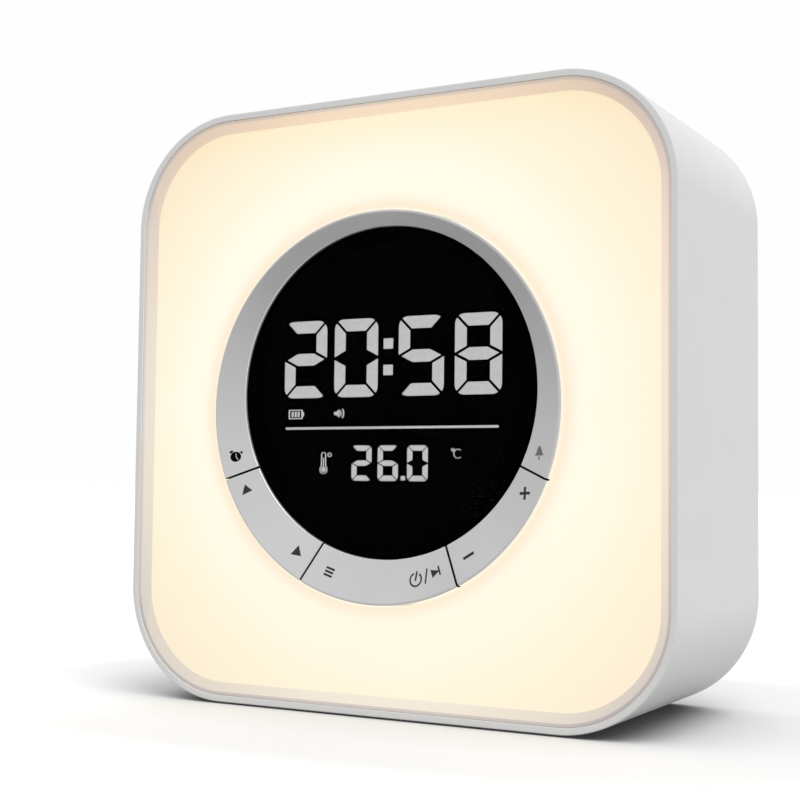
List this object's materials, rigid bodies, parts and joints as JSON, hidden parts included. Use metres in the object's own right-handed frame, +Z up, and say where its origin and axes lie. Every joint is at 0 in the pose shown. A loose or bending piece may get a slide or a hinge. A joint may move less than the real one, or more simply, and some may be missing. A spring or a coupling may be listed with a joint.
{
  "type": "sunrise alarm clock",
  "caption": "Free-standing bedside lamp and alarm clock: rounded white case, glowing front panel, round dark display inside a dished ring of silver rocker keys.",
  "frame": {"origin": "on the surface the clock stands on, below the middle of the case's outline; Y is measured from the middle of the whole depth, ring of keys included", "axes": "+Z up, +X to the viewer's right when looking at the display, +Y from the front panel towards the rear cover"},
  "size_m": [0.168, 0.0746, 0.1705],
  "materials": {
    "case_white": "fine satin moulding",
    "cover_white": "fine satin moulding",
    "screw_steel": "zinc plated",
    "foot_rubber": "matte",
    "milky_panel": "milky, lit from behind",
    "tray_white": "matte",
    "lamp_yellow": "lamp with a phosphor cap",
    "housing_black": "matte",
    "smoked_window": "smoked, polished",
    "lit_segments": "lit",
    "mat_silicone": "matte",
    "board_green": "solder mask",
    "key_silver": "silver paint, satin",
    "chip_black": "matte",
    "ribbon_grey": "satin",
    "plug_ivory": "satin",
    "lead_red": "satin",
    "lead_black": "satin",
    "cell_sleeve": "shrink sleeve",
    "holder_grey": "matte",
    "strap_black": "matte",
    "basket_steel": "pressed steel",
    "magnet_iron": "ferrite between steel plates",
    "spider_cloth": "varnished cloth",
    "cone_paper": "pressed paper",
    "surround_rubber": "matte"
  },
  "bodies": {
    "case": {"case_shell": "case_white", "rear_cover": "cover_white", "speaker_grille": "cover_white", "cover_screws": "screw_steel", "rubber_feet": "foot_rubber", "diffuser_panel": "milky_panel", "reflector_tray": "tray_white", "led_board": "tray_white", "led_chips": "lamp_yellow", "tray_screws": "screw_steel", "dial_housing": "housing_black", "housing_screws": "screw_steel", "display_lens": "smoked_window", "lens_tape": "housing_black", "display_module": "housing_black", "display_segments": "lit_segments", "key_mat": "mat_silicone", "front_board": "board_green", "front_board_screws": "screw_steel", "main_board": "board_green", "board_parts": "chip_black", "main_board_screws": "screw_steel", "display_ribbon": "ribbon_grey", "ribbon_plugs": "plug_ivory", "led_lead": "lead_red", "battery_cell": "cell_sleeve", "battery_holder": "holder_grey", "battery_strap": "strap_black", "holder_screws": "screw_steel", "battery_lead": "lead_red", "speaker_basket": "basket_steel", "speaker_magnet": "magnet_iron", "speaker_spider": "spider_cloth", "speaker_surround": "surround_rubber", "speaker_gasket": "surround_rubber", "speaker_screws": "screw_steel", "speaker_lead": "lead_black", "charging_socket": "basket_steel", "socket_board": "board_green", "socket_screws": "screw_steel", "charging_lead": "lead_red", "temperature_sensor": "board_green", "sensor_lead": "lead_black"},
    "arc_key": {"arc_key": "key_silver"},
    "left_key": {"left_key": "key_silver"},
    "bottom_key": {"bottom_key": "key_silver"},
    "right_key": {"right_key": "key_silver"},
    "speaker_cone": {"speaker_cone": "cone_paper"}
  },
  "joints": [
    {"name": "arc_key_rock", "type": "hinge", "parent": "case", "child": "arc_key", "pos_m": [0, -0.03015, 0.0845], "axis": [0, 0, 1], "range_deg": [-0.369, 0.369], "stiffness_Nm_per_rad": 10, "deforming": ["key_mat"]},
    {"name": "left_key_rock", "type": "hinge", "parent": "case", "child": "left_key", "pos_m": [0, -0.03015, 0.0845], "axis": [-0.7373, 0, -0.6756], "range_deg": [-1.47, 1.47], "stiffness_Nm_per_rad": 0.7, "deforming": ["key_mat"]},
    {"name": "bottom_key_rock", "type": "hinge", "parent": "case", "child": "bottom_key", "pos_m": [0, -0.03015, 0.0845], "axis": [0, 0, -1], "range_deg": [-1.15, 1.15], "stiffness_Nm_per_rad": 1.1, "deforming": ["key_mat"]},
    {"name": "right_key_rock", "type": "hinge", "parent": "case", "child": "right_key", "pos_m": [0, -0.03015, 0.0845], "axis": [0.7373, 0, -0.6756], "range_deg": [-1.47, 1.47], "stiffness_Nm_per_rad": 0.7, "deforming": ["key_mat"]},
    {"name": "cone_stroke", "type": "slide", "parent": "case", "child": "speaker_cone", "axis": [0, 1, 0], "range_m": [-0.0008, 0.0008], "stiffness_N_per_m": 1500, "deforming": ["speaker_surround", "speaker_spider"]}
  ]
}
